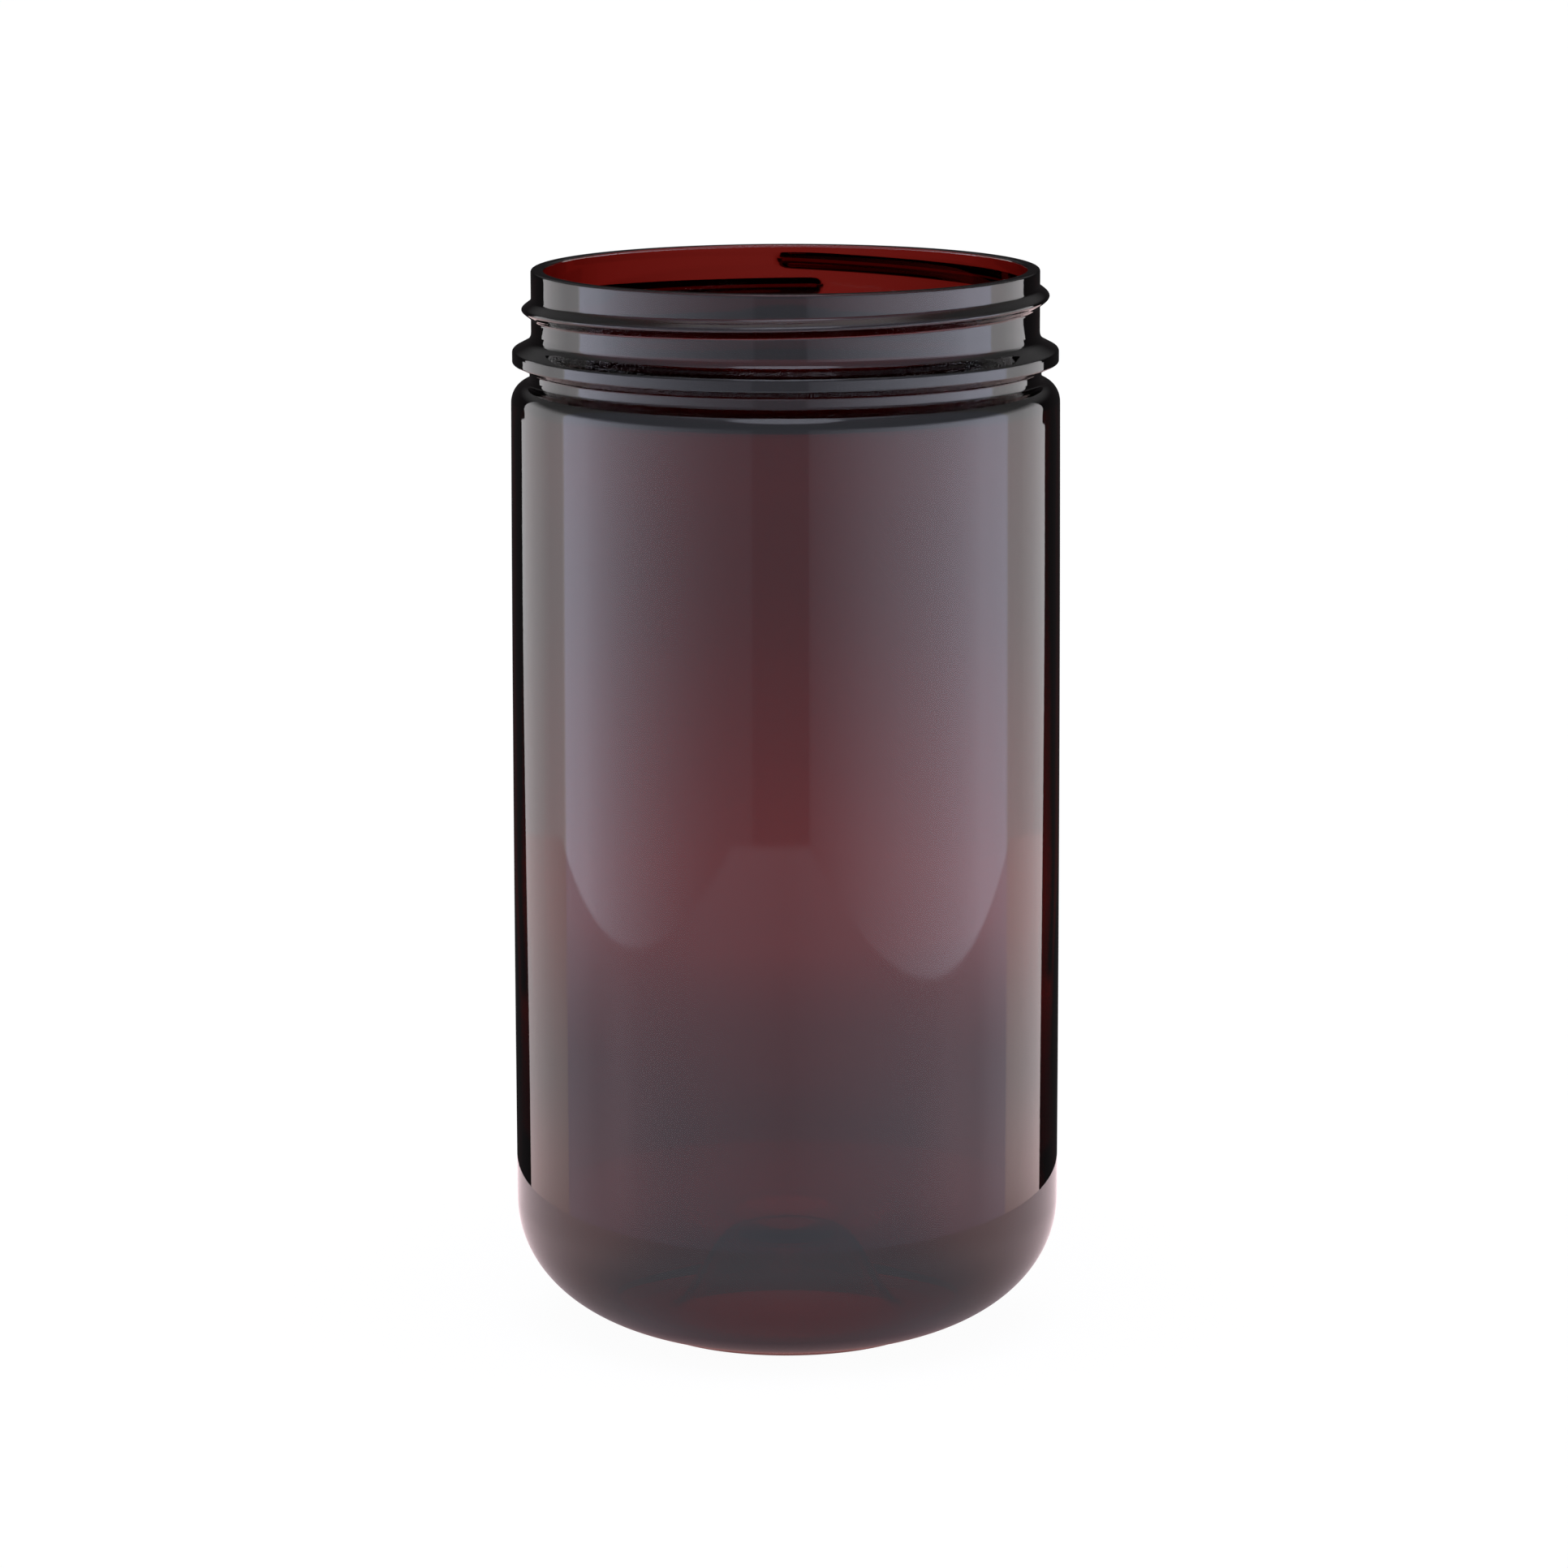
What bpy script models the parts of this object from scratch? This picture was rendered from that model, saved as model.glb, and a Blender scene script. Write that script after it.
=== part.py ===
"""Wide-mouth apothecary jar: one blow-moulded body with a screw-thread neck and a pushed-up base.

Metres, +Z up, the jar stands on its contact ring at the origin.
"""

import math

import bmesh
import bpy

MM = 0.001

# Overall
HEIGHT = 182.0 * MM
SEGMENTS = 60

# Neck finish
NECK_RADIUS = 42.78 * MM
NECK_WALL = 2.2 * MM
RIM_EDGE = 0.5 * MM
THREAD_RADIUS = 44.38 * MM
THREAD_PITCH = 4.45 * MM
THREAD_HALF_ROOT = 1.95 * MM
THREAD_HALF_CREST = 0.75 * MM
THREAD_SHOULDER_HALF = 1.25 * MM
THREAD_SHOULDER_RISE = 0.75
THREAD_EMBED = 0.8 * MM
THREAD_START_HEIGHT = 178.65 * MM
THREAD_START_ANGLE = math.radians(91.5)
THREAD_SWEEP = math.radians(370.0)
THREAD_STEP = math.radians(6.0)
THREAD_RUNOUT = math.radians(2.5)
THREAD_RUNOUT_STEPS = 3
THREAD_TIP_SCALE = 0.2

# Transfer bead under the thread
BEAD_RADIUS = 46.0 * MM
BEAD_TOP = 170.2 * MM
BEAD_FACE_TOP = 168.5 * MM
BEAD_FACE_BOTTOM = 166.9 * MM
BEAD_UNDERSIDE = 165.7 * MM
BEAD_ROUND = 0.35 * MM

# Waist and shoulder corner
WAIST_RADIUS = 43.1 * MM
WAIST_BOTTOM = 163.0 * MM
SHOULDER_BOTTOM = 159.6 * MM
SHOULDER_RADIUS = 46.24 * MM
SHOULDER_STEPS = 5
SHOULDER_WALL = 1.7 * MM

# Straight body
BODY_WALL = 1.3 * MM
BODY_STATIONS = (
    (130.0 * MM, 46.41 * MM),
    (91.0 * MM, 46.50 * MM),
    (55.0 * MM, 46.51 * MM),
)

# Heel, a rounded corner from the wall to the contact ring
HEEL_TOP = 22.5 * MM
HEEL_RADIUS = 46.46 * MM
HEEL_ROOT = 15.9 * MM
HEEL_POWER = 2.08
HEEL_RISE = 0.35 * MM
HEEL_STEPS = 9
HEEL_LAST_ANGLE = math.radians(70.0)
HEEL_WALL = 1.6 * MM

# Base
CONTACT_OUTER = 24.4 * MM
CONTACT_INNER = 21.4 * MM
BASE_WALL = 2.2 * MM
PUSH_UP = 15.2 * MM
PUSH_UP_FLAT = 9.0 * MM
PUSH_UP_STEPS = 6
GATE_RADIUS = 1.6 * MM
GATE_DROP = 0.7 * MM
GATE_TAPER = 0.75

AMBER = (0.16, 0.025, 0.012, 1.0)
AMBER_ROUGHNESS = 0.06
PET_IOR = 1.57


def clear_scene():
    """Remove every object that is in the file."""
    for scene_object in list(bpy.data.objects):
        bpy.data.objects.remove(scene_object, do_unlink=True)


def amber_material():
    """See-through dark amber plastic."""
    material = bpy.data.materials.new("amber_pet")
    material.use_nodes = True
    shader = material.node_tree.nodes["Principled BSDF"]
    shader.inputs["Base Color"].default_value = AMBER
    shader.inputs["Roughness"].default_value = AMBER_ROUGHNESS
    shader.inputs["IOR"].default_value = PET_IOR
    shader.inputs["Transmission Weight"].default_value = 1.0
    material.diffuse_color = AMBER
    return material


def heel_point(angle):
    """Point of the heel corner, from the wall (0) towards the contact ring."""
    power = 2.0 / HEEL_POWER
    across = math.cos(angle) ** power
    down = math.sin(angle) ** power
    radius = HEEL_ROOT + (HEEL_RADIUS - HEEL_ROOT) * across
    height = (HEEL_TOP + HEEL_RISE) * (1.0 - down) - HEEL_RISE
    return radius, height


def dome_points():
    """Pushed-up base from the contact ring to the flat centre disc."""
    points = []
    for step in range(1, PUSH_UP_STEPS + 1):
        part = step / PUSH_UP_STEPS
        ease = 0.5 - 0.5 * math.cos(math.pi * part)
        radius = CONTACT_INNER + (PUSH_UP_FLAT - CONTACT_INNER) * part
        points.append((radius, PUSH_UP * ease))
    return points


def outer_upper_profile():
    """Rim, neck and bead, from the rim downwards, without a wall behind."""
    return [
        (NECK_RADIUS - RIM_EDGE, HEIGHT),
        (NECK_RADIUS, HEIGHT - RIM_EDGE),
        (NECK_RADIUS, BEAD_TOP),
        (BEAD_RADIUS - BEAD_ROUND, BEAD_FACE_TOP + BEAD_ROUND),
        (BEAD_RADIUS, BEAD_FACE_TOP),
        (BEAD_RADIUS, BEAD_FACE_BOTTOM),
        (BEAD_RADIUS - BEAD_ROUND, BEAD_FACE_BOTTOM - BEAD_ROUND),
        (WAIST_RADIUS + BEAD_ROUND, BEAD_UNDERSIDE),
    ]


def outer_lower_profile():
    """Waist, shoulder, body, heel and base with the wall thickness at each point."""
    points = [(WAIST_RADIUS, BEAD_UNDERSIDE - BEAD_ROUND, NECK_WALL)]
    points.append((WAIST_RADIUS, WAIST_BOTTOM, SHOULDER_WALL))
    reach = SHOULDER_RADIUS - WAIST_RADIUS
    drop = WAIST_BOTTOM - SHOULDER_BOTTOM
    for step in range(1, SHOULDER_STEPS + 1):
        angle = math.pi / 2 * step / SHOULDER_STEPS
        radius = WAIST_RADIUS + reach * math.sin(angle)
        height = SHOULDER_BOTTOM + drop * math.cos(angle)
        points.append((radius, height, SHOULDER_WALL))
    for height, radius in BODY_STATIONS:
        points.append((radius, height, BODY_WALL))
    for step in range(HEEL_STEPS + 1):
        radius, height = heel_point(HEEL_LAST_ANGLE * step / HEEL_STEPS)
        if radius > CONTACT_OUTER and height > 0.0:
            wall = BODY_WALL + (HEEL_WALL - BODY_WALL) * step / HEEL_STEPS
            points.append((radius, height, wall))
    points.append((CONTACT_OUTER, 0.0, BASE_WALL))
    points.append((CONTACT_INNER, 0.0, BASE_WALL))
    for radius, height in dome_points():
        points.append((radius, height, BASE_WALL))
    return points


def inner_profile(points):
    """Inside surface: each outer point moved inwards along its normal by the wall there."""
    inside = []
    for index in range(1, len(points) - 1):
        before = points[index - 1]
        here = points[index]
        after = points[index + 1]
        run = after[0] - before[0]
        rise = after[1] - before[1]
        length = math.hypot(run, rise)
        radius = here[0] + here[2] * rise / length
        height = here[1] - here[2] * run / length
        inside.append((radius, height))
    return inside


def jar_profile():
    """Closed half section from the axis under the base, over the rim, to the axis inside."""
    lower = outer_lower_profile()
    inside = inner_profile(lower)
    section = [(0.0, PUSH_UP - GATE_DROP)]
    section.append((GATE_RADIUS * GATE_TAPER, PUSH_UP - GATE_DROP))
    section.append((GATE_RADIUS, PUSH_UP))
    section.extend((radius, height) for radius, height, wall in reversed(lower))
    section.extend(reversed(outer_upper_profile()))
    bore = NECK_RADIUS - NECK_WALL
    section.append((bore + RIM_EDGE, HEIGHT))
    section.append((bore, HEIGHT - RIM_EDGE))
    section.append((bore, BEAD_UNDERSIDE))
    section.extend(inside)
    section.append((0.0, PUSH_UP + BASE_WALL))
    return section


def object_from_bmesh(name, mesh_data, material, smooth_angle):
    """Turn a bmesh into a named object."""
    mesh = bpy.data.meshes.new(name)
    mesh_data.to_mesh(mesh)
    mesh_data.free()
    mesh.materials.append(material)
    made = bpy.data.objects.new(name, mesh)
    bpy.context.scene.collection.objects.link(made)
    if smooth_angle:
        mesh.shade_smooth()
        mesh.set_sharp_from_angle(angle=smooth_angle)
    return made


def spun_body(material):
    """Spin the half section into the closed body of the jar."""
    mesh_data = bmesh.new()
    corners = [mesh_data.verts.new((radius, 0.0, height)) for radius, height in jar_profile()]
    edges = [mesh_data.edges.new(pair) for pair in zip(corners, corners[1:])]
    bmesh.ops.spin(
        mesh_data,
        geom=corners + edges,
        cent=(0.0, 0.0, 0.0),
        axis=(0.0, 0.0, 1.0),
        dvec=(0.0, 0.0, 0.0),
        angle=math.tau,
        steps=SEGMENTS,
        use_merge=True,
        use_duplicate=False,
    )
    bmesh.ops.remove_doubles(mesh_data, verts=mesh_data.verts, dist=0.01 * MM)
    bmesh.ops.recalc_face_normals(mesh_data, faces=mesh_data.faces)
    return object_from_bmesh("jar", mesh_data, material, math.radians(30.0))


def thread_stations():
    """Angles along the thread with the size of its section, rounded off at both ends."""
    stations = []
    for step in range(THREAD_RUNOUT_STEPS):
        part = step / THREAD_RUNOUT_STEPS
        size = max(THREAD_TIP_SCALE, math.sqrt(1.0 - (1.0 - part) ** 2))
        stations.append((THREAD_RUNOUT * part, size))
    count = round((THREAD_SWEEP - 2 * THREAD_RUNOUT) / THREAD_STEP)
    for step in range(count + 1):
        stations.append((THREAD_RUNOUT + (THREAD_SWEEP - 2 * THREAD_RUNOUT) * step / count, 1.0))
    tail = [(THREAD_SWEEP - angle, size) for angle, size in stations[:THREAD_RUNOUT_STEPS]]
    stations.extend(reversed(tail))
    return stations


def thread_section(size):
    """Section of the thread ridge as radius and height from its centre line."""
    rise = (THREAD_RADIUS - NECK_RADIUS) * size
    root = NECK_RADIUS - THREAD_EMBED
    return [
        (root, -THREAD_HALF_ROOT * size),
        (NECK_RADIUS, -THREAD_HALF_ROOT * size),
        (NECK_RADIUS + rise * THREAD_SHOULDER_RISE, -THREAD_SHOULDER_HALF * size),
        (NECK_RADIUS + rise, -THREAD_HALF_CREST * size),
        (NECK_RADIUS + rise, THREAD_HALF_CREST * size),
        (NECK_RADIUS + rise * THREAD_SHOULDER_RISE, THREAD_SHOULDER_HALF * size),
        (NECK_RADIUS, THREAD_HALF_ROOT * size),
        (root, THREAD_HALF_ROOT * size),
    ]


def station_corners(angle, size):
    """Corners of one thread section in space, right-hand and falling from the top."""
    azimuth = THREAD_START_ANGLE - angle
    centre = THREAD_START_HEIGHT - THREAD_PITCH * angle / math.tau
    corners = []
    for radius, offset in thread_section(size):
        corners.append((radius * math.cos(azimuth), radius * math.sin(azimuth), centre + offset))
    return corners


def thread_ridge(material):
    """Sweep the thread section down its helix by extruding its end face step by step."""
    mesh_data = bmesh.new()
    stations = thread_stations()
    ring = [mesh_data.verts.new(corner) for corner in station_corners(*stations[0])]
    bmesh.ops.contextual_create(mesh_data, geom=ring)
    loops = [ring]
    for angle, size in stations[1:]:
        border = [
            edge
            for edge in mesh_data.edges
            if edge.verts[0] in loops[-1] and edge.verts[1] in loops[-1]
        ]
        grown = bmesh.ops.extrude_edge_only(mesh_data, edges=border)
        added = [item for item in grown["geom"] if isinstance(item, bmesh.types.BMVert)]
        ordered = []
        for corner in loops[-1]:
            match = min(added, key=lambda vert: (vert.co - corner.co).length)
            added.remove(match)
            ordered.append(match)
        for vert, place in zip(ordered, station_corners(angle, size)):
            vert.co = place
        loops.append(ordered)
    bmesh.ops.contextual_create(mesh_data, geom=loops[-1])
    bmesh.ops.recalc_face_normals(mesh_data, faces=mesh_data.faces)
    ridge = object_from_bmesh("thread_ridge", mesh_data, material, 0.0)
    ridge.hide_render = True
    ridge.display_type = "WIRE"
    return ridge


def join_thread(body, ridge):
    """Fuse the moulded thread to the neck wall."""
    union = body.modifiers.new("moulded_thread", "BOOLEAN")
    union.operation = "UNION"
    union.solver = "EXACT"
    union.object = ridge


def main():
    clear_scene()
    material = amber_material()
    body = spun_body(material)
    ridge = thread_ridge(material)
    join_thread(body, ridge)


main()
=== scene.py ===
import math

import bmesh
import bpy
from bpy.props import FloatProperty, FloatVectorProperty, IntProperty, PointerProperty
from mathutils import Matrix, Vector


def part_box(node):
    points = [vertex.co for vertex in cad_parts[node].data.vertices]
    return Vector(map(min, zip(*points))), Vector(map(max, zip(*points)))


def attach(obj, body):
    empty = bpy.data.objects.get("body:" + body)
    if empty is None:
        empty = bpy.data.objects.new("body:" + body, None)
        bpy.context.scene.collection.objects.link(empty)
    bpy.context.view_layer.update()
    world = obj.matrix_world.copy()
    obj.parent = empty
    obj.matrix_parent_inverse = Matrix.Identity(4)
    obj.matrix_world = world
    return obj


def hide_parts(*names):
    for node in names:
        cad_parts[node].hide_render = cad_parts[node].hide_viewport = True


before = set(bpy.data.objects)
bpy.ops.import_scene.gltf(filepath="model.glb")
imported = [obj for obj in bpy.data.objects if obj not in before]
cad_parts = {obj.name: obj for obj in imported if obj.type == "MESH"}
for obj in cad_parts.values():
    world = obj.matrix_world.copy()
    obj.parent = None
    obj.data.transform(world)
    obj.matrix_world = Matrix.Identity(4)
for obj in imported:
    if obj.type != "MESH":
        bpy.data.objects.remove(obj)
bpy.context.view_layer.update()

bl_info = {
    "name": "Apothecary jar",
    "version": (1, 0, 0),
    "blender": (4, 5, 0),
    "location": "3D View > Sidebar > Jar",
    "description": "Builds a wide-mouth amber jar and a plain studio around it",
    "category": "Add Mesh",
}

CAD_LOW, CAD_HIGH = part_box("jar")

MM = 0.001
CLEAR_OF_FLOOR = 0.05 * MM
WHITE = (1.0, 1.0, 1.0, 1.0)

# Small roundings of the section
BEAD_TOP_FILLET = 2.2 * MM
BEAD_TOP_EDGE = 0.6 * MM
BEAD_FOOT_EDGE = 0.3 * MM
BEAD_FOOT_FILLET = 0.4 * MM
WAIST_LEDGE = 0.4 * MM
HEEL_LEVEL_OUT = 0.35 * MM
HEEL_LAST_TURN = math.radians(72.0)

# Mark left by the mould in the middle of the base
GATE_DROP = 0.7 * MM
GATE_EDGE_DROP = 0.5 * MM
RING_STEP = 0.45 * MM
RING_INNER = 0.9 * MM
RING_OUTER = 0.5 * MM

# Where the neck's lines and the body's lines meet
WAIST_JOIN = 0.6 * MM
WAIST_CLEAR = 0.7 * MM
BASE_REACH = 30 * MM

# Longest step along the section
NECK_SPACING = 0.17 * MM
WAIST_SPACING = 0.6 * MM
BORE_SPACING = 2.5 * MM
MERGE_WITHIN = 0.002 * MM

# Both ends of the thread curl up over this much of the turn
THREAD_CURL = math.radians(50.0)

# Levels between which one side of the wall is thinner
THIN_FROM = 30.0 * MM
THIN_TO = 150.0 * MM

# Level and wall thickness there, both in millimetres
WALL_STATIONS = (
    (0.0, 1.7), (12.0, 1.7), (24.0, 2.1), (40.0, 2.05), (56.0, 1.55),
    (76.0, 1.22), (92.0, 1.42), (104.0, 1.50), (132.0, 1.8), (150.0, 1.68),
    (157.5, 1.6), (159.8, 1.9), (161.6, 3.6), (163.5, 4.0), (166.0, 2.8),
)


def length(label, description, default):
    """A size in metres for the sidebar."""
    return FloatProperty(
        name=label, description=description, default=default, unit="LENGTH", precision=5
    )


def turn(label, description, degrees):
    """An angle for the sidebar."""
    return FloatProperty(
        name=label, description=description, default=math.radians(degrees), subtype="ANGLE"
    )


def plain(label, description, default):
    """A bare number for the sidebar."""
    return FloatProperty(name=label, description=description, default=default)


def tint(label, description, default):
    """A colour for the sidebar."""
    return FloatVectorProperty(
        name=label, description=description, default=default, subtype="COLOR", size=3
    )


class JarNeck(bpy.types.PropertyGroup):
    """Rim, thread and bead."""

    radius: length("Neck radius", "Outside of the neck wall", 42.78 * MM)
    wall: length("Neck wall", "Thickness of the neck", 2.2 * MM)
    rim_round: length("Rim round", "Rounding on both edges of the rim", 0.45 * MM)
    thread_rise: length("Thread rise", "How far the thread stands off the neck", 1.6 * MM)
    thread_half: length("Thread half width", "Half the width of the thread at its root", 1.75 * MM)
    thread_ease: length("Thread ease", "How far both ends of the thread curl up", 0.6 * MM)
    thread_pitch: length("Thread pitch", "Drop of the thread in one turn", 4.45 * MM)
    thread_top: length("Thread start height", "Height of the thread where it starts", 178.65 * MM)
    thread_start: turn("Thread start", "Where the thread starts, from +X towards +Y", 90.0)
    thread_sweep: turn("Thread sweep", "How far the thread runs", 367.0)
    bead_radius: length("Bead radius", "Outside of the bead under the thread", 46.0 * MM)
    bead_top: length("Bead top", "Where the bead leaves the neck", 170.2 * MM)
    bead_face_top: length("Bead face top", "Upper edge of the bead's face", 168.5 * MM)
    bead_face_foot: length("Bead face foot", "Lower edge of the bead's face", 166.5 * MM)
    bead_foot: length("Bead foot", "Where the bead meets the waist", 165.2 * MM)


class JarBody(bpy.types.PropertyGroup):
    """Waist, wall, heel and base."""

    height: length("Height", "From the contact ring to the rim", CAD_HIGH.z - CAD_LOW.z)
    waist_radius: length("Waist radius", "Narrow part between the bead and the shoulder", 43.1 * MM)
    waist_foot: length("Waist foot", "Top of the shoulder corner", 163.0 * MM)
    shoulder_foot: length("Shoulder foot", "Where the shoulder corner becomes the wall", 159.6 * MM)
    shoulder_radius: length("Shoulder radius", "Body radius just under the shoulder", 46.24 * MM)
    middle_radius: length("Middle radius", "Body radius half way up", 46.50 * MM)
    heel_radius: length("Heel radius", "Body radius where the heel starts", 46.46 * MM)
    heel_top: length("Heel top", "Height where the heel starts", 22.5 * MM)
    heel_root: length("Heel root", "Inner end of the heel's curve", 15.9 * MM)
    heel_power: plain("Heel fullness", "2 is an ellipse, more is squarer", 2.08)
    contact_outer: length("Contact outside", "Outer radius of the ring it stands on", 24.4 * MM)
    contact_inner: length("Contact inside", "Inner radius of the ring it stands on", 21.4 * MM)
    push_up: length("Push-up", "How far the base is pushed up in the middle", 15.2 * MM)
    push_up_flat: length("Push-up flat", "Radius of the flat disc in its middle", 9.0 * MM)
    base_wall: length("Base wall", "Thickness of the base", 0.8 * MM)
    gate_radius: length("Gate radius", "Nub left in the middle of the base", 1.6 * MM)
    thin_side: turn("Thin side", "Where the wall is thinnest, from +X towards +Y", -40.0)
    thin_by: length("Thinner by", "How much thinner the wall is there", 0.19 * MM)
    around: IntProperty(name="Steps around", description="Facets around the jar", default=240)


class JarFinish(bpy.types.PropertyGroup):
    """Plastic."""

    absorb: tint("Amber", "What the tinted plastic lets through", (0.601, 0.078, 0.022))
    absorb_density: plain("Tint strength", "Absorption in each metre of plastic", 2300.0)
    ior: plain("Refractive index", "Index of clear polyester", 1.57)
    gloss: plain("Polish", "Smallest roughness of the surface", 0.015)


class JarStudio(bpy.types.PropertyGroup):
    """Camera, floor and lights."""

    distance: length("Camera distance", "From the jar's axis, along the floor", 1044.3 * MM)
    height: length("Camera height", "Above the floor", 287.3 * MM)
    pitch: turn("Camera pitch", "How far the camera looks down", 10.491)
    roll: turn("Camera roll", "Turn about the view", 0.12)
    field: turn("Field of view", "Width of the view", 14.345)
    floor_size: length("Floor size", "Width of the floor", 12.0)
    floor_tone: tint("Floor", "Colour of the floor", (0.08, 0.08, 0.08))
    floor_glow: plain("Floor glow", "Light the floor gives off, as a lit table does", 0.96)
    backdrop_glow: plain("Backdrop glow", "Light the backdrop gives off", 1.03)


class Expr:
    """A shader socket that takes part in Python sums."""

    def __init__(self, nodes, socket):
        self.nodes = nodes
        self.socket = socket

    def math(self, operation, *others, swap=False):
        values = [self, *others]
        if swap:
            values.reverse()
        return self.nodes.add("ShaderNodeMath", {"operation": operation}, values)

    def __add__(self, other):
        return self.math("ADD", other)

    def __sub__(self, other):
        return self.math("SUBTRACT", other)

    def __mul__(self, other):
        return self.math("MULTIPLY", other)

    def __truediv__(self, other):
        return self.math("DIVIDE", other)

    def __radd__(self, other):
        return self.math("ADD", other)

    def __rsub__(self, other):
        return self.math("SUBTRACT", other, swap=True)

    def __rmul__(self, other):
        return self.math("MULTIPLY", other)

    def step_up(self, low, high):
        """0 at low and 1 at high, smooth between; low may be the larger of the two."""
        settings = {"interpolation_type": "SMOOTHSTEP"}
        limits = {"Value": self, "From Min": low, "From Max": high}
        return self.nodes.add("ShaderNodeMapRange", settings, limits)


class Nodes:
    """Builds one material's nodes."""

    def __init__(self, tree):
        self.tree = tree
        tree.nodes.clear()

    def add(self, kind, settings=None, values=None, out=0):
        """A node with its settings made first, then its socket values or links."""
        node = self.tree.nodes.new(kind)
        for key, value in (settings or {}).items():
            if key == "stops":
                ramp = node.color_ramp
                while len(ramp.elements) < len(value):
                    ramp.elements.new(0.5)
                for stop, (place, colour) in zip(ramp.elements, value):
                    stop.position = place
                    stop.color = colour
            else:
                setattr(node, key, value)
        pairs = values.items() if isinstance(values, dict) else enumerate(values or ())
        for key, value in pairs:
            if isinstance(value, Expr):
                self.tree.links.new(value.socket, node.inputs[key])
            else:
                node.inputs[key].default_value = value
        return Expr(self, node.outputs[out]) if node.outputs else None

    def output_of(self, made, index):
        """Another output of the node behind an expression."""
        return Expr(self, made.socket.node.outputs[index])

    def mix(self, factor, first, second):
        """Blend of two colours."""
        kinds = {"data_type": "RGBA"}
        return self.add("ShaderNodeMix", kinds, {0: factor, 6: first, 7: second}, out=2)

    def times(self, first, second):
        """Product of two colours."""
        kinds = {"data_type": "RGBA", "blend_type": "MULTIPLY"}
        return self.add("ShaderNodeMix", kinds, {0: 1.0, 6: first, 7: second}, out=2)


def new_material(name):
    """An empty node material and its builder."""
    material = bpy.data.materials.new(name)
    material.use_nodes = True
    return material, Nodes(material.node_tree)


def amber_plastic(finish):
    """Clear tinted plastic, with the tint in its thickness."""
    material, nodes = new_material("amber_plastic")
    place = nodes.add("ShaderNodeTexCoord", out=3)
    cloud = nodes.add("ShaderNodeTexNoise", {}, {"Vector": place, "Scale": 60.0, "Detail": 3.0})
    rough = finish.gloss + cloud.step_up(0.45, 0.75) * 0.01
    surface = nodes.add(
        "ShaderNodeBsdfPrincipled",
        {},
        {
            "Base Color": WHITE,
            "Roughness": rough,
            "IOR": finish.ior,
            "Transmission Weight": 1.0,
        },
    )
    tinted = {"Color": (*finish.absorb, 1.0), "Density": finish.absorb_density}
    inside = nodes.add("ShaderNodeVolumeAbsorption", {}, tinted)
    nodes.add("ShaderNodeOutputMaterial", {}, {"Surface": surface, "Volume": inside})
    return material


def rounded(corners, steps=6):
    """A line through (radius, height, fillet) corners, with each corner rounded by its fillet."""
    points = [corners[0][:2]]
    for before, here, after in zip(corners, corners[1:], corners[2:]):
        point = Vector(here[:2])
        back = Vector(before[:2]) - point
        ahead = Vector(after[:2]) - point
        if here[2] <= 0.0:
            points.append(tuple(point))
            continue
        half = back.angle(ahead) / 2.0
        reach = min(here[2] / math.tan(half), back.length * 0.49, ahead.length * 0.49)
        start = point + back.normalized() * reach
        end = point + ahead.normalized() * reach
        for step in range(steps + 1):
            part = step / steps
            bend = start * (1 - part) ** 2 + point * 2 * part * (1 - part) + end * part**2
            points.append(tuple(bend))
    points.append(corners[-1][:2])
    return points


def filled(points, spacing):
    """The same line with no gap longer than the spacing."""
    line = [points[0]]
    for before, here in zip(points, points[1:]):
        gap = math.dist(before, here)
        count = max(1, math.ceil(gap / spacing))
        for step in range(1, count + 1):
            part = step / count
            radius = before[0] + (here[0] - before[0]) * part
            height = before[1] + (here[1] - before[1]) * part
            line.append((radius, height))
    return line


def body_radius(body, height):
    """Outside radius of the wall: a shallow bow from shoulder to heel."""
    part = (body.shoulder_foot - height) / (body.shoulder_foot - body.heel_top)
    first = body.shoulder_radius * (1 - part) * (1 - 2 * part)
    middle = body.middle_radius * 4 * part * (1 - part)
    last = body.heel_radius * part * (2 * part - 1)
    return first + middle + last


def wall_thickness(height):
    """Blown wall: thin half way up and thicker towards the shoulder and the heel."""
    level = height / MM
    if level <= WALL_STATIONS[0][0]:
        return WALL_STATIONS[0][1] * MM
    for (low, thin), (high, thick) in zip(WALL_STATIONS, WALL_STATIONS[1:]):
        if level <= high:
            part = (level - low) / (high - low)
            ease = part * part * (3 - 2 * part)
            return (thin + (thick - thin) * ease) * MM
    return WALL_STATIONS[-1][1] * MM


def heel_line(body, steps=44):
    """Heel from the wall to the contact ring."""
    rise = HEEL_LEVEL_OUT
    points = []
    for step in range(steps + 1):
        angle = HEEL_LAST_TURN * step / steps
        power = 2.0 / body.heel_power
        radius = body.heel_root + (body.heel_radius - body.heel_root) * math.cos(angle) ** power
        height = (body.heel_top + rise) * (1.0 - math.sin(angle) ** power) - rise
        if radius > body.contact_outer + 1.0 * MM:
            points.append((radius, height))
    return points


def dome_line(body, steps=28):
    """Pushed-up base from the contact ring to the flat disc."""
    points = []
    for step in range(1, steps + 1):
        part = step / steps
        ease = 0.5 - 0.5 * math.cos(math.pi * part)
        radius = body.contact_inner + (body.push_up_flat - body.contact_inner) * part
        points.append((radius, body.push_up * ease))
    return points


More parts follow.
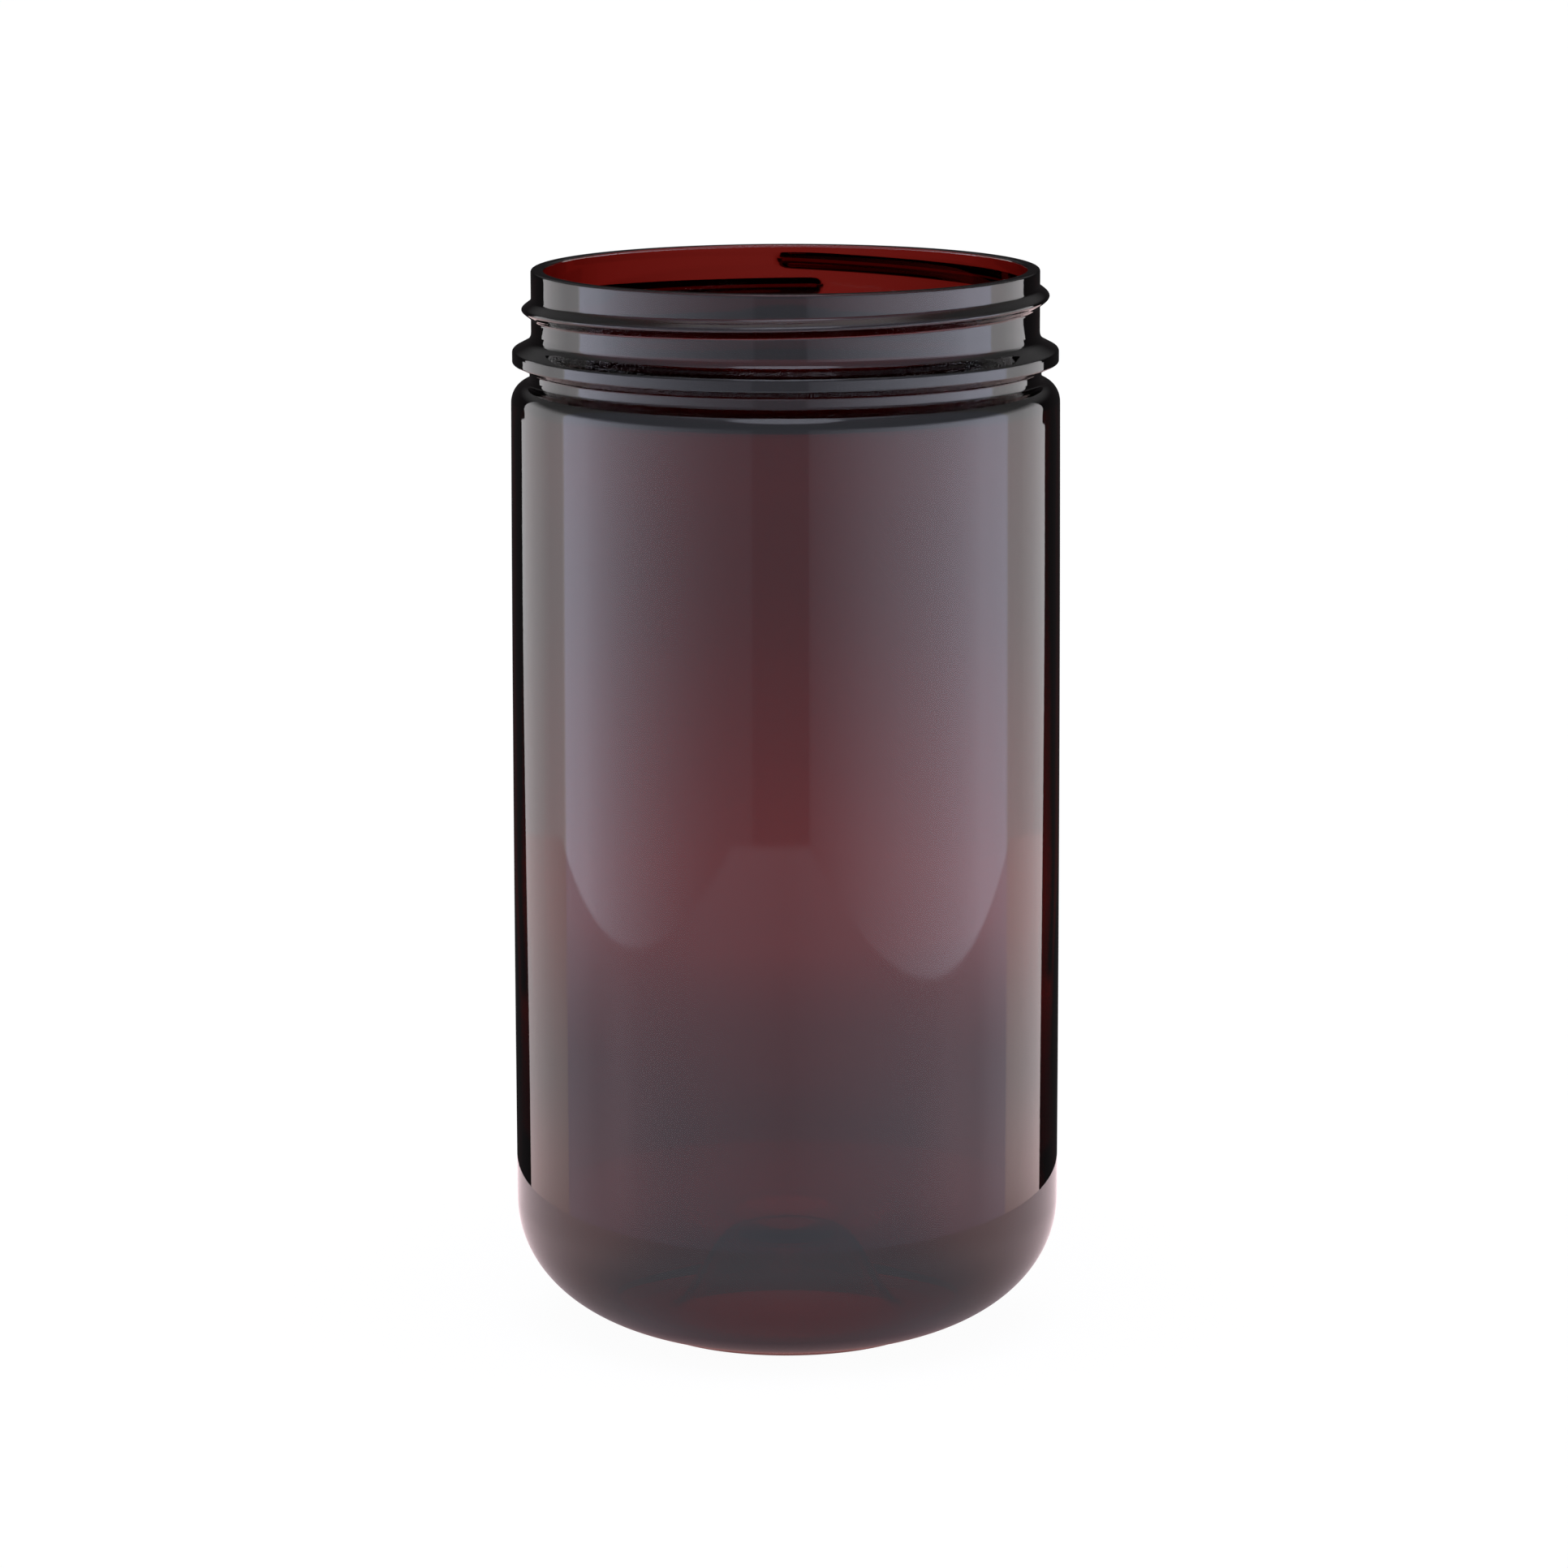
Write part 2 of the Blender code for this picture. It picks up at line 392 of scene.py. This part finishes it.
def outer_line(neck, body):
    """Outside of the jar below the bead, down to the middle of the base."""
    waist = [
        (body.waist_radius, neck.bead_foot),
        (body.waist_radius, body.waist_foot + WAIST_LEDGE),
    ]
    reach = body.shoulder_radius - body.waist_radius
    drop = body.waist_foot - body.shoulder_foot
    shoulder = []
    for step in range(15):
        angle = math.pi / 2 * step / 14
        radius = body.waist_radius + WAIST_LEDGE + (reach - WAIST_LEDGE) * math.sin(angle)
        shoulder.append((radius, body.shoulder_foot + drop * math.cos(angle)))
    wall = []
    for step in range(1, 16):
        height = body.shoulder_foot + (body.heel_top - body.shoulder_foot) * step / 16
        wall.append((body_radius(body, height), height))
    ring = [
        (body.contact_outer + 0.5 * MM, 0.12 * MM),
        (body.contact_outer, 0.0),
        (body.contact_inner, 0.0),
    ]
    waist = filled(waist, WAIST_SPACING)
    return waist + shoulder + wall + heel_line(body) + ring + dome_line(body)


def inner_line(line, wall_at):
    """The line moved inwards along its normal by the wall."""
    points = []
    for before, here, after in zip(line, line[1:], line[2:]):
        along = Vector(after) - Vector(before)
        along.normalize()
        wall = wall_at(here)
        points.append((here[0] + wall * along.y, here[1] - wall * along.x))
    return points


def jar_section(neck, body):
    """Half section of the jar, from the axis under the base round to the axis inside."""

    def wall_at(point):
        return body.base_wall if point[0] < BASE_REACH else wall_thickness(point[1])

    below = outer_line(neck, body)
    inside = inner_line(below, wall_at)
    top = body.height
    bore = neck.radius - neck.wall
    rim = neck.rim_round
    face = neck.bead_radius
    neck_out = rounded(
        [
            (neck.radius - neck.wall / 2, top, 0.0),
            (neck.radius, top, rim),
            (neck.radius, neck.bead_top, BEAD_TOP_FILLET),
            (face, neck.bead_face_top, BEAD_TOP_EDGE),
            (face, neck.bead_face_foot, BEAD_FOOT_EDGE),
            (body.waist_radius, neck.bead_foot, BEAD_FOOT_FILLET),
            (body.waist_radius, neck.bead_foot - WAIST_JOIN, 0.0),
        ]
    )
    neck_out = filled(neck_out, NECK_SPACING)
    neck_in = rounded(
        [
            (bore - 0.3 * MM, neck.bead_foot + 1.0 * MM, 0.0),
            (bore, neck.bead_foot + 4.0 * MM, 1.0 * MM),
            (bore, top, rim),
            (neck.radius - neck.wall / 2, top, 0.0),
        ]
    )
    neck_in = filled(neck_in, BORE_SPACING)
    section = [
        (0.0, body.push_up - GATE_DROP),
        (body.gate_radius * 0.6, body.push_up - GATE_DROP),
        (body.gate_radius * 0.8, body.push_up - GATE_EDGE_DROP),
        (body.gate_radius, body.push_up),
        (body.push_up_flat - RING_INNER, body.push_up),
        (body.push_up_flat - RING_OUTER, body.push_up + RING_STEP),
    ]
    lower = [point for point in below if point[1] < neck.bead_foot - WAIST_CLEAR]
    section.extend(reversed(lower))
    section.extend(reversed(neck_out))
    section.extend(reversed(neck_in[:-1]))
    section.extend(point for point in inside if point[1] < neck.bead_foot - WAIST_JOIN)
    section.append((0.0, body.push_up + body.base_wall))
    return section


def spun(section, steps):
    """The section turned once round the axis into a closed mesh."""
    mesh_data = bmesh.new()
    corners = [mesh_data.verts.new((radius, 0.0, height)) for radius, height in section]
    edges = [mesh_data.edges.new(pair) for pair in zip(corners, corners[1:])]
    bmesh.ops.spin(
        mesh_data,
        geom=corners + edges,
        cent=(0, 0, 0),
        axis=(0, 0, 1),
        dvec=(0, 0, 0),
        angle=math.tau,
        steps=steps,
        use_merge=True,
        use_duplicate=False,
    )
    bmesh.ops.remove_doubles(mesh_data, verts=mesh_data.verts, dist=MERGE_WITHIN)
    bmesh.ops.recalc_face_normals(mesh_data, faces=mesh_data.faces)
    return mesh_data


def ridge(distance, half):
    """1 on the crest, 0 at the root, with soft shoulders between."""
    part = min(distance / half, 1.0)
    return 1.0 - part * part * (3.0 - 2.0 * part)


def thread_rise(neck, azimuth, height):
    """How far the thread stands off the neck wall at one place."""
    best = 0.0
    for lap in (-1, 0, 1):
        along = (neck.thread_start - azimuth) % math.tau + lap * math.tau
        over = max(0.0, -along, along - neck.thread_sweep) * neck.radius
        run = min(max(along, 0.0), neck.thread_sweep)
        from_end = min(run, neck.thread_sweep - run) / THREAD_CURL
        centre = neck.thread_top - neck.thread_pitch * run / math.tau
        centre += neck.thread_ease * max(0.0, 1.0 - from_end) ** 2
        away = math.hypot(over, height - centre) if over > 0.0 else abs(height - centre)
        best = max(best, ridge(away, neck.thread_half))
    return neck.thread_rise * best


def raise_thread(mesh_data, neck):
    """Push the neck wall out where the thread runs."""
    low = neck.thread_top - neck.thread_pitch * 1.1 - neck.thread_half
    high = neck.thread_top + neck.thread_half
    for vert in mesh_data.verts:
        if low < vert.co.z < high:
            radius = math.hypot(vert.co.x, vert.co.y)
            if radius > neck.radius - 0.1 * MM:
                rise = thread_rise(neck, math.atan2(vert.co.y, vert.co.x), vert.co.z)
                if rise > 0.0:
                    vert.co.x *= (radius + rise) / radius
                    vert.co.y *= (radius + rise) / radius


def thin_one_side(mesh_data, body):
    """The blown wall is a little thinner on one side, half way up."""
    for vert in mesh_data.verts:
        radius = math.hypot(vert.co.x, vert.co.y)
        inside = 40.0 * MM < radius < body_radius(body, vert.co.z) - 0.6 * MM
        if inside and THIN_FROM < vert.co.z < THIN_TO:
            facing = max(0.0, math.cos(math.atan2(vert.co.y, vert.co.x) - body.thin_side))
            level = (vert.co.z - THIN_FROM) / (THIN_TO - THIN_FROM)
            shift = body.thin_by * facing * math.sin(math.pi * level)
            vert.co.x *= (radius + shift) / radius
            vert.co.y *= (radius + shift) / radius


def to_object(mesh_data, name, material):
    """A named object at the origin from a bmesh."""
    mesh = bpy.data.meshes.new(name)
    mesh_data.to_mesh(mesh)
    mesh_data.free()
    mesh.materials.append(material)
    made = bpy.data.objects.new(name, mesh)
    bpy.context.scene.collection.objects.link(made)
    return made


# Directions round the jar are in degrees: azimuth either way from the camera's side,
# which is 0, to straight behind, which is 180, and elevation above level.
BRIGHTEST = 4.0

# Soft box on each side with the side panel beyond it: azimuths and brightness. The light grows
# by a power of the way from where the box starts to where it is fullest.
GAP_BRIGHTNESS = 0.56
BOX_LEFT = {
    "start": 14.5, "full": 93.0, "dim": 0.70, "bright": 2.7, "growth": 1.8,
    "edge": 105.0, "at_edge": 2.7, "panel_near": 1.75, "panel": 1.4,
}
BOX_RIGHT = {
    "start": 10.0, "full": 90.0, "dim": 0.76, "bright": 2.9, "growth": 1.1,
    "edge": 104.5, "at_edge": 2.65, "panel_near": 1.95, "panel": 1.72,
}
BOX_EDGE_WIDTH = 2.5
PANEL_GLOW_WIDTH = 11.0
CURVE_STEPS = 10

# Azimuth and brightness of the pale table below them, far off and near
TABLE_LEFT = ((0, 0.86), (66, 1.15), (93, 1.5), (104, 1.5), (106.5, 1.34), (150, 1.34))
TABLE_RIGHT = ((0, 0.86), (74, 1.36), (97, 1.8), (150, 1.8))
NEAR_TABLE = ((0, 0.84), (60, 1.0), (100, 1.05), (120, 0.9), (180, 0.85))
NEAR_TABLE_FROM, NEAR_TABLE_TO = -13.6, -15.8

# Lower edge of the soft boxes: azimuth of the lowest point, curve and elevation there
FOOT_LEFT = (66.0, 0.000565, -11.94)
FOOT_RIGHT = (62.0, 0.000497, -12.26)
FOOT_RIGHT_STEEPER = 0.00015
FOOT_HIGHEST = -10.88
FOOT_SOFTNESS = 0.04

# Side panels, dimmer at the foot, and cool light in front of their far edge
PANEL_NEAR = (70.0, 90.0)
PANEL_FAR = (107.0, 105.0)
PANEL_DIM_FROM, PANEL_DIM_TO = -11.4, -13.0
PANEL_DIM = (0.74, 0.74, 0.74, 1.0)
COOL_TO = 106.0
COOL_WHITE = (0.98, 1.0, 1.18, 1.0)
PLAIN_WHITE = (1.0, 0.98, 1.0, 1.0)

# The table is warmer to both sides, and most of all near the jar
WARM_AZIMUTH = (45.0, 80.0)
WARM_ELEVATION = (-13.0, -14.2)
WARM_FAR = 0.35
WARM_WHITE = (1.30, 1.02, 1.0, 1.0)

# Black flags behind the side panels
FLAG_EDGE = (135.5, 136.5)
FLAG_LEFT_MORE = 5.0
FLAG_LEAN = 3.0
FLAG_LEAN_LEFT_MORE = 1.5
FLAG_LEAN_OVER = (-14.0, -8.0)
FLAG_LEAN_TOP = (-6.25, -6.45)
FLAG_FOOT = (-15.1, -14.5)
FLAG_BLACK = (0.0055, 0.0050, 0.0052, 1.0)

# Ceiling, its brighter middle and one lamp over the camera's side
CEILING = ((0, 0.5), (90, 0.45), (130, 0.2), (180, 0.12))
CEILING_FROM, CEILING_TO = 8.0, 22.0
ZENITH_FROM, ZENITH_TO = 56.0, 70.0
ZENITH_BRIGHTNESS = 0.85
LAMP_ELEVATION = math.radians(64.0)
LAMP_DIRECTION = (0.0, -math.cos(LAMP_ELEVATION), math.sin(LAMP_ELEVATION))
LAMP_EDGE = (math.radians(20.0), math.radians(14.0))
LAMP_BRIGHTNESS = 2.0

# White behind the jar, which only shows through the plastic
BACKLIGHT_FROM, BACKLIGHT_TO = 158.0, 164.0
BACKLIGHT_TOP = (20.0, 12.0)

# Table round the jar, glowing with painted shade and painted red light: radius in millimetres and
# the colour there
SHADED_RADIUS = 130.0
SHADED_LIGHT = 1.4
# Painted red light right under the jar, as if come through the amber plastic
PAINTED_RED_LIGHT_UNDER_JAR = (
    (0, (0.55, 0.07, 0.05)), (14, (0.50, 0.09, 0.07)), (20, (0.48, 0.13, 0.10)),
    (24, (0.36, 0.16, 0.15)), (28, (0.28, 0.18, 0.19)),
)
# From there outwards the shade clears from the near colour to the far one
SHADE_START = 33.0
SHADE_FRONT = {
    "near": (0.28, 0.20, 0.23), "far": (0.84, 0.84, 0.96),
    "reach": 85.0, "growth": 1.0, "settling": 2.3,
}
SHADE_SIDE = {
    "near": (0.28, 0.22, 0.24), "far": (1.25, 1.00, 1.05),
    "reach": 100.0, "growth": 1.5, "settling": 3.2,
}
SIDE_FROM, SIDE_TO = 35.0, 75.0


class JAR_OT_build_jar(bpy.types.Operator):
    """Build the jar in one piece"""

    bl_idname = "jar.build_jar"
    bl_label = "Build jar"

    def execute(self, context):
        neck = context.scene.jar_neck
        body = context.scene.jar_body
        mesh_data = spun(jar_section(neck, body), body.around)
        raise_thread(mesh_data, neck)
        thin_one_side(mesh_data, body)
        jar = to_object(mesh_data, "amber_jar", amber_plastic(context.scene.jar_finish))
        jar.data.shade_smooth()
        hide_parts("jar")
        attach(jar, "root")
        return {"FINISHED"}


def in_degrees(angle):
    """A shader angle in degrees."""
    return angle * (180.0 / math.pi)


def soft_box(box):
    """Azimuth and brightness across the dark gap, a soft box and its side panel."""
    stops = [(0.0, GAP_BRIGHTNESS), (box["start"] - 1.0, GAP_BRIGHTNESS)]
    for step in range(CURVE_STEPS + 1):
        part = step / CURVE_STEPS
        azimuth = box["start"] + (box["full"] - box["start"]) * part
        stops.append((azimuth, box["dim"] + (box["bright"] - box["dim"]) * part ** box["growth"]))
    stops.append((box["edge"], box["at_edge"]))
    stops.append((box["edge"] + BOX_EDGE_WIDTH, box["panel_near"]))
    stops.append((box["edge"] + PANEL_GLOW_WIDTH, box["panel"]))
    return stops


def clearing_shade(shade):
    """Radius and colour of the painted shade on the table, from right under the jar to where it
    ends.
    """
    stops = list(PAINTED_RED_LIGHT_UNDER_JAR)
    for step in range(CURVE_STEPS + 1):
        part = step / CURVE_STEPS
        clear = 1.0 - (1.0 - part ** shade["growth"]) ** shade["settling"]
        radius = SHADE_START + (shade["reach"] - SHADE_START) * part
        pairs = zip(shade["near"], shade["far"])
        stops.append((radius, tuple(near + (far - near) * clear for near, far in pairs)))
    return stops


def surroundings(nodes, way, backlit):
    """What lies round the jar: soft boxes, side panels, black flags, a table and a ceiling."""
    split = nodes.add("ShaderNodeSeparateXYZ", {}, {0: way})
    north = nodes.output_of(split, 1)
    up = nodes.output_of(split, 2)
    side = in_degrees(split.math("ARCTAN2", 0.0 - north))
    rise = in_degrees(up.math("ARCSINE"))
    left = side.math("LESS_THAN", 0.0)
    away = side.math("ABSOLUTE")

    def grey(value):
        return (*(value / BRIGHTEST for _ in "rgb"), 1.0)

    def curve(stops):
        points = [(degrees / 180.0, grey(value)) for degrees, value in stops]
        return nodes.add("ShaderNodeValToRGB", {"stops": points}, {"Fac": away / 180.0})

    def foot(place, more=0.0):
        lowest, bend, level = place
        off = away - lowest
        return off * off * (bend + more * off.math("GREATER_THAN", 0.0)) + level

    soft = nodes.mix(left, curve(soft_box(BOX_RIGHT)), curve(soft_box(BOX_LEFT)))
    table = nodes.mix(left, curve(TABLE_RIGHT), curve(TABLE_LEFT))
    edge = left * foot(FOOT_LEFT) + (1.0 - left) * foot(FOOT_RIGHT, FOOT_RIGHT_STEEPER)
    edge = edge.math("MINIMUM", FOOT_HIGHEST)
    panel = away.step_up(*PANEL_NEAR) * away.step_up(*PANEL_FAR)
    panel_foot = panel * rise.step_up(PANEL_DIM_FROM, PANEL_DIM_TO)
    table = nodes.times(table, nodes.mix(panel_foot, WHITE, PANEL_DIM))
    table = nodes.mix(rise.step_up(NEAR_TABLE_FROM, NEAR_TABLE_TO), table, curve(NEAR_TABLE))
    low = WARM_FAR + (1.0 - WARM_FAR) * rise.step_up(*WARM_ELEVATION)
    warmth = away.step_up(*WARM_AZIMUTH) * low
    table = nodes.times(table, nodes.mix(warmth, WHITE, WARM_WHITE))
    seen = nodes.mix((rise - edge).step_up(-FOOT_SOFTNESS, FOOT_SOFTNESS), table, soft)
    lean = FLAG_LEAN + left * FLAG_LEAN_LEFT_MORE
    lean = lean * rise.step_up(*FLAG_LEAN_OVER) * rise.step_up(*FLAG_LEAN_TOP)
    flagged = (away - left * FLAG_LEFT_MORE - lean).step_up(*FLAG_EDGE)
    seen = nodes.mix(flagged * rise.step_up(*FLAG_FOOT), seen, FLAG_BLACK)
    seen = nodes.mix(rise.step_up(CEILING_FROM, CEILING_TO), seen, curve(CEILING))
    seen = nodes.mix(rise.step_up(ZENITH_FROM, ZENITH_TO), seen, grey(ZENITH_BRIGHTNESS))
    towards = {"operation": "DOT_PRODUCT"}
    lamp = nodes.add("ShaderNodeVectorMath", towards, {0: way, 1: LAMP_DIRECTION}, out=1)
    seen = nodes.mix(lamp.math("ARCCOSINE").step_up(*LAMP_EDGE), seen, grey(LAMP_BRIGHTNESS))
    if backlit:
        behind = away.step_up(BACKLIGHT_FROM, BACKLIGHT_TO) * rise.step_up(*BACKLIGHT_TOP)
        seen = nodes.mix(behind, seen, grey(1.0))
    cool = away.math("LESS_THAN", COOL_TO)
    return nodes.times(seen, nodes.mix(cool, PLAIN_WHITE, COOL_WHITE))


class JAR_OT_build_studio(bpy.types.Operator):
    """Build the floor, the light tent and the camera"""

    bl_idname = "jar.build_studio"
    bl_label = "Build studio"

    def execute(self, context):
        studio = context.scene.jar_studio
        self.floor(studio)
        self.backdrop(studio)
        self.near_floor()
        self.world(context)
        self.camera(context, studio)
        return {"FINISHED"}

    def floor(self, studio):
        """White table that the camera sees."""
        mesh_data = bmesh.new()
        bmesh.ops.create_grid(mesh_data, x_segments=1, y_segments=1, size=studio.floor_size / 2)
        bmesh.ops.translate(mesh_data, verts=mesh_data.verts, vec=(0, 0, -2 * CLEAR_OF_FLOOR))
        material, nodes = new_material("pale_floor")
        surface = nodes.add(
            "ShaderNodeBsdfPrincipled",
            {},
            {
                "Base Color": (*studio.floor_tone, 1.0),
                "Roughness": 0.9,
                "Specular IOR Level": 0.0,
                "Emission Color": WHITE,
                "Emission Strength": studio.floor_glow,
            },
        )
        nodes.add("ShaderNodeOutputMaterial", {}, {"Surface": surface})
        floor = to_object(mesh_data, "floor", material)
        floor.visible_glossy = False
        floor.visible_transmission = False

    def backdrop(self, studio):
        """White dome that the camera sees, and one with the surroundings for refracted light."""
        white, nodes = new_material("white_backdrop")
        glow = {"Color": WHITE, "Strength": studio.backdrop_glow}
        light = nodes.add("ShaderNodeEmission", {}, glow)
        nodes.add("ShaderNodeOutputMaterial", {}, {"Surface": light})
        around, nodes = new_material("light_tent")
        place = nodes.add("ShaderNodeTexCoord", out=3)
        way = nodes.add("ShaderNodeVectorMath", {"operation": "NORMALIZE"}, {0: place})
        shown = {"Color": surroundings(nodes, way, True), "Strength": BRIGHTEST}
        light = nodes.add("ShaderNodeEmission", {}, shown)
        nodes.add("ShaderNodeOutputMaterial", {}, {"Surface": light})
        domes = (("backdrop", white, 0.45, True), ("light_tent", around, 0.4, False))
        for name, material, share, camera in domes:
            mesh_data = bmesh.new()
            radius = studio.floor_size * share
            bmesh.ops.create_uvsphere(mesh_data, u_segments=64, v_segments=32, radius=radius)
            bmesh.ops.reverse_faces(mesh_data, faces=mesh_data.faces)
            dome = to_object(mesh_data, name, material)
            dome.visible_camera = camera
            dome.visible_transmission = not camera
            dome.visible_glossy = False
            dome.visible_diffuse = False
            dome.visible_shadow = False

    def near_floor(self):
        """Table next to the jar, glowing with the jar's own red shadow painted on it, for
        reflections and refraction.
        """
        mesh_data = bmesh.new()
        size = SHADED_RADIUS * MM
        bmesh.ops.create_circle(mesh_data, cap_ends=True, segments=96, radius=size)
        bmesh.ops.translate(mesh_data, verts=mesh_data.verts, vec=(0, 0, -CLEAR_OF_FLOOR))
        material, nodes = new_material("shaded_table")
        place = nodes.add("ShaderNodeTexCoord", out=3)
        split = nodes.add("ShaderNodeSeparateXYZ", {}, {0: place})
        north = nodes.output_of(split, 1)
        side = in_degrees(split.math("ARCTAN2", 0.0 - north).math("ABSOLUTE"))
        reach = nodes.add("ShaderNodeVectorMath", {"operation": "LENGTH"}, {0: place}, out=1) / size
        shades = []
        for shade in (SHADE_FRONT, SHADE_SIDE):
            points = []
            for radius, tone in clearing_shade(shade):
                colour = (*(part / SHADED_LIGHT for part in tone), 1.0)
                points.append((radius / SHADED_RADIUS, colour))
            shades.append(nodes.add("ShaderNodeValToRGB", {"stops": points}, {"Fac": reach}))
        both = nodes.mix(side.step_up(SIDE_FROM, SIDE_TO), *shades)
        # The disc glows with the painted shade and painted red light
        light = nodes.add("ShaderNodeEmission", {}, {"Color": both, "Strength": SHADED_LIGHT})
        nodes.add("ShaderNodeOutputMaterial", {}, {"Surface": light})
        disc = to_object(mesh_data, "shaded_table", material)
        disc.visible_camera = False
        disc.visible_diffuse = False
        disc.visible_shadow = False

    def world(self, context):
        """The surroundings for reflections."""
        world = bpy.data.worlds.new("surroundings")
        world.use_nodes = True
        nodes = Nodes(world.node_tree)
        way = nodes.add("ShaderNodeTexCoord")
        shown = {"Color": surroundings(nodes, way, False), "Strength": BRIGHTEST}
        light = nodes.add("ShaderNodeBackground", {}, shown)
        nodes.add("ShaderNodeOutputWorld", {}, {"Surface": light})
        world.cycles_visibility.camera = False
        world.cycles_visibility.transmission = False
        context.scene.world = world

    def camera(self, context, studio):
        """Camera in front of the jar, looking a little down."""
        lens = bpy.data.cameras.new("camera")
        lens.sensor_fit = "HORIZONTAL"
        lens.angle = studio.field
        lens.clip_start = 0.01
        lens.clip_end = 50.0
        camera = bpy.data.objects.new("camera", lens)
        camera.location = (0.0, -studio.distance, studio.height)
        camera.rotation_mode = "XYZ"
        camera.rotation_euler = (math.pi / 2 - studio.pitch, studio.roll, 0.0)
        context.scene.collection.objects.link(camera)
        context.scene.camera = camera
        context.scene.view_settings.view_transform = "Standard"
        context.scene.view_settings.look = "None"


class JAR_PT_panel(bpy.types.Panel):
    """Sizes, finish and build buttons"""

    bl_idname = "JAR_PT_panel"
    bl_label = "Apothecary jar"
    bl_space_type = "VIEW_3D"
    bl_region_type = "UI"
    bl_category = "Jar"

    def draw(self, context):
        layout = self.layout
        for group in GROUPS:
            box = layout.box()
            settings = getattr(context.scene, group)
            for name in settings.__annotations__:
                box.prop(settings, name)
        layout.operator("jar.build_jar")
        layout.operator("jar.build_studio")


GROUPS = {
    "jar_neck": JarNeck,
    "jar_body": JarBody,
    "jar_finish": JarFinish,
    "jar_studio": JarStudio,
}
CLASSES = (*GROUPS.values(), JAR_OT_build_jar, JAR_OT_build_studio, JAR_PT_panel)


def register():
    for each in CLASSES:
        bpy.utils.register_class(each)
    for name, group in GROUPS.items():
        setattr(bpy.types.Scene, name, PointerProperty(type=group))


def unregister():
    for name in GROUPS:
        delattr(bpy.types.Scene, name)
    for each in reversed(CLASSES):
        bpy.utils.unregister_class(each)


def main():
    register()
    bpy.ops.jar.build_jar()
    bpy.ops.jar.build_studio()


if __name__ == "__main__":
    main()
